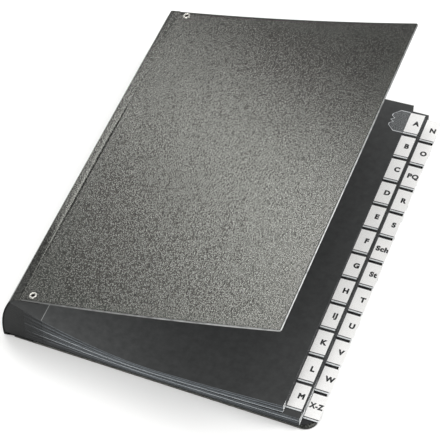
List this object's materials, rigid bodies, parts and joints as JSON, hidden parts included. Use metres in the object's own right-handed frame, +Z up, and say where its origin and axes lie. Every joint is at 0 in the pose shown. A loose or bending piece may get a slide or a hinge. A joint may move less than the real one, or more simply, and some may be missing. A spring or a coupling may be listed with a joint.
{
  "type": "alphabetical desk sorter",
  "caption": "Desk sorter with grained board covers on a flexible cloth spine and a fanned block of black card leaves, each with a lettered label in a clear film tab.",
  "frame": {"origin": "on the desk, under the middle of the object's outline", "axes": "+X from the spine to the tabs, +Y along the spine from foot to head, +Z up"},
  "size_m": [0.2645, 0.34, 0.1184],
  "materials": {
    "grained_cover": "leather-grained, satin",
    "lining_paper": "matt",
    "spine_cloth": "fine coated cloth, dull",
    "leaf_card": "matt",
    "film_tab": "clear film over white paper",
    "nickel": "nickel plated"
  },
  "bodies": {
    "root": {"back_board": "grained_cover", "back_lining": "lining_paper", "back_flange": "spine_cloth", "spine_cloth": "spine_cloth"},
    "leaf_a_body": {"leaf_a": "leaf_card", "tab_a": "film_tab"},
    "leaf_b_body": {"leaf_b": "leaf_card", "tab_b": "film_tab"},
    "leaf_c_body": {"leaf_c": "leaf_card", "tab_c": "film_tab"},
    "leaf_d_body": {"leaf_d": "leaf_card", "tab_d": "film_tab"},
    "leaf_e_body": {"leaf_e": "leaf_card", "tab_e": "film_tab"},
    "leaf_f_body": {"leaf_f": "leaf_card", "tab_f": "film_tab"},
    "leaf_g_body": {"leaf_g": "leaf_card", "tab_g": "film_tab"},
    "leaf_h_body": {"leaf_h": "leaf_card", "tab_h": "film_tab"},
    "leaf_ij_body": {"leaf_ij": "leaf_card", "tab_ij": "film_tab"},
    "leaf_k_body": {"leaf_k": "leaf_card", "tab_k": "film_tab"},
    "leaf_l_body": {"leaf_l": "leaf_card", "tab_l": "film_tab"},
    "leaf_m_body": {"leaf_m": "leaf_card", "tab_m": "film_tab"},
    "leaf_n_body": {"leaf_n": "leaf_card", "tab_n": "film_tab"},
    "leaf_o_body": {"leaf_o": "leaf_card", "tab_o": "film_tab"},
    "leaf_pq_body": {"leaf_pq": "leaf_card", "tab_pq": "film_tab"},
    "leaf_r_body": {"leaf_r": "leaf_card", "tab_r": "film_tab"},
    "leaf_s_body": {"leaf_s": "leaf_card", "tab_s": "film_tab"},
    "leaf_sch_body": {"leaf_sch": "leaf_card", "tab_sch": "film_tab"},
    "leaf_st_body": {"leaf_st": "leaf_card", "tab_st": "film_tab"},
    "leaf_t_body": {"leaf_t": "leaf_card", "tab_t": "film_tab"},
    "leaf_u_body": {"leaf_u": "leaf_card", "tab_u": "film_tab"},
    "leaf_v_body": {"leaf_v": "leaf_card", "tab_v": "film_tab"},
    "leaf_w_body": {"leaf_w": "leaf_card", "tab_w": "film_tab"},
    "leaf_xz_body": {"leaf_xz": "leaf_card", "tab_xz": "film_tab"},
    "front_cover": {"front_flange": "spine_cloth", "front_board": "grained_cover", "front_lining": "lining_paper", "front_eyelets": "nickel"}
  },
  "joints": [
    {"name": "leaf_xz_turn", "type": "hinge", "parent": "root", "child": "leaf_xz_body", "pos_m": [-0.13086, 0, 0.00277], "axis": [0, 1, 0], "range_deg": [-7, 0], "deforming": ["spine_cloth"]},
    {"name": "leaf_w_turn", "type": "hinge", "parent": "leaf_xz_body", "child": "leaf_w_body", "pos_m": [-0.13104, 0, 0.00465], "axis": [0, 1, 0], "range_deg": [-7, 0], "deforming": ["spine_cloth"]},
    {"name": "leaf_v_turn", "type": "hinge", "parent": "leaf_w_body", "child": "leaf_v_body", "pos_m": [-0.13117, 0, 0.00655], "axis": [0, 1, 0], "range_deg": [-7, 0], "deforming": ["spine_cloth"]},
    {"name": "leaf_u_turn", "type": "hinge", "parent": "leaf_v_body", "child": "leaf_u_body", "pos_m": [-0.13126, 0, 0.00844], "axis": [0, 1, 0], "range_deg": [-7, 0], "deforming": ["spine_cloth"]},
    {"name": "leaf_t_turn", "type": "hinge", "parent": "leaf_u_body", "child": "leaf_t_body", "pos_m": [-0.13129, 0, 0.01034], "axis": [0, 1, 0], "range_deg": [-7, 0], "deforming": ["spine_cloth"]},
    {"name": "leaf_st_turn", "type": "hinge", "parent": "leaf_t_body", "child": "leaf_st_body", "pos_m": [-0.13124, 0, 0.01223], "axis": [0, 1, 0], "range_deg": [-7, 0], "deforming": ["spine_cloth"]},
    {"name": "leaf_sch_turn", "type": "hinge", "parent": "leaf_st_body", "child": "leaf_sch_body", "pos_m": [-0.13115, 0, 0.01411], "axis": [0, 1, 0], "range_deg": [-7, 0], "deforming": ["spine_cloth"]},
    {"name": "leaf_s_turn", "type": "hinge", "parent": "leaf_sch_body", "child": "leaf_s_body", "pos_m": [-0.13101, 0, 0.01598], "axis": [0, 1, 0], "range_deg": [-7, 0], "deforming": ["spine_cloth"]},
    {"name": "leaf_r_turn", "type": "hinge", "parent": "leaf_s_body", "child": "leaf_r_body", "pos_m": [-0.13082, 0, 0.01784], "axis": [0, 1, 0], "range_deg": [-7, 0], "deforming": ["spine_cloth"]},
    {"name": "leaf_pq_turn", "type": "hinge", "parent": "leaf_r_body", "child": "leaf_pq_body", "pos_m": [-0.13059, 0, 0.01968], "axis": [0, 1, 0], "range_deg": [-7, 0], "deforming": ["spine_cloth"]},
    {"name": "leaf_o_turn", "type": "hinge", "parent": "leaf_pq_body", "child": "leaf_o_body", "pos_m": [-0.13033, 0, 0.02151], "axis": [0, 1, 0], "range_deg": [-7, 0], "deforming": ["spine_cloth"]},
    {"name": "leaf_n_turn", "type": "hinge", "parent": "leaf_o_body", "child": "leaf_n_body", "pos_m": [-0.13001, 0, 0.02332], "axis": [0, 1, 0], "range_deg": [-7, 0], "deforming": ["spine_cloth"]},
    {"name": "leaf_m_turn", "type": "hinge", "parent": "leaf_n_body", "child": "leaf_m_body", "pos_m": [-0.12966, 0, 0.0251], "axis": [0, 1, 0], "range_deg": [-7, 0], "deforming": ["spine_cloth"]},
    {"name": "leaf_l_turn", "type": "hinge", "parent": "leaf_m_body", "child": "leaf_l_body", "pos_m": [-0.12927, 0, 0.02687], "axis": [0, 1, 0], "range_deg": [-7, 0], "deforming": ["spine_cloth"]},
    {"name": "leaf_k_turn", "type": "hinge", "parent": "leaf_l_body", "child": "leaf_k_body", "pos_m": [-0.12885, 0, 0.0286], "axis": [0, 1, 0], "range_deg": [-7, 0], "deforming": ["spine_cloth"]},
    {"name": "leaf_ij_turn", "type": "hinge", "parent": "leaf_k_body", "child": "leaf_ij_body", "pos_m": [-0.12838, 0, 0.03032], "axis": [0, 1, 0], "range_deg": [-7, 0], "deforming": ["spine_cloth"]},
    {"name": "leaf_h_turn", "type": "hinge", "parent": "leaf_ij_body", "child": "leaf_h_body", "pos_m": [-0.12789, 0, 0.032], "axis": [0, 1, 0], "range_deg": [-7, 0], "deforming": ["spine_cloth"]},
    {"name": "leaf_g_turn", "type": "hinge", "parent": "leaf_h_body", "child": "leaf_g_body", "pos_m": [-0.12736, 0, 0.03366], "axis": [0, 1, 0], "range_deg": [-7, 0], "deforming": ["spine_cloth"]},
    {"name": "leaf_f_turn", "type": "hinge", "parent": "leaf_g_body", "child": "leaf_f_body", "pos_m": [-0.1268, 0, 0.03528], "axis": [0, 1, 0], "range_deg": [-7, 0], "deforming": ["spine_cloth"]},
    {"name": "leaf_e_turn", "type": "hinge", "parent": "leaf_f_body", "child": "leaf_e_body", "pos_m": [-0.12622, 0, 0.03688], "axis": [0, 1, 0], "range_deg": [-7, 0], "deforming": ["spine_cloth"]},
    {"name": "leaf_d_turn", "type": "hinge", "parent": "leaf_e_body", "child": "leaf_d_body", "pos_m": [-0.12561, 0, 0.03844], "axis": [0, 1, 0], "range_deg": [-7, 0], "deforming": ["spine_cloth"]},
    {"name": "leaf_c_turn", "type": "hinge", "parent": "leaf_d_body", "child": "leaf_c_body", "pos_m": [-0.12498, 0, 0.03998], "axis": [0, 1, 0], "range_deg": [-7, 0], "deforming": ["spine_cloth"]},
    {"name": "leaf_b_turn", "type": "hinge", "parent": "leaf_c_body", "child": "leaf_b_body", "pos_m": [-0.12433, 0, 0.04148], "axis": [0, 1, 0], "range_deg": [-7, 0], "deforming": ["spine_cloth"]},
    {"name": "leaf_a_turn", "type": "hinge", "parent": "leaf_b_body", "child": "leaf_a_body", "pos_m": [-0.12367, 0, 0.04296], "axis": [0, 1, 0], "range_deg": [-7, 0], "deforming": ["spine_cloth"]},
    {"name": "front_cover_fold", "type": "hinge", "parent": "leaf_a_body", "child": "front_cover", "pos_m": [-0.12344, 0, 0.0475], "axis": [0, -1, 0], "range_deg": [-22.5, 160], "deforming": ["spine_cloth"]}
  ]
}
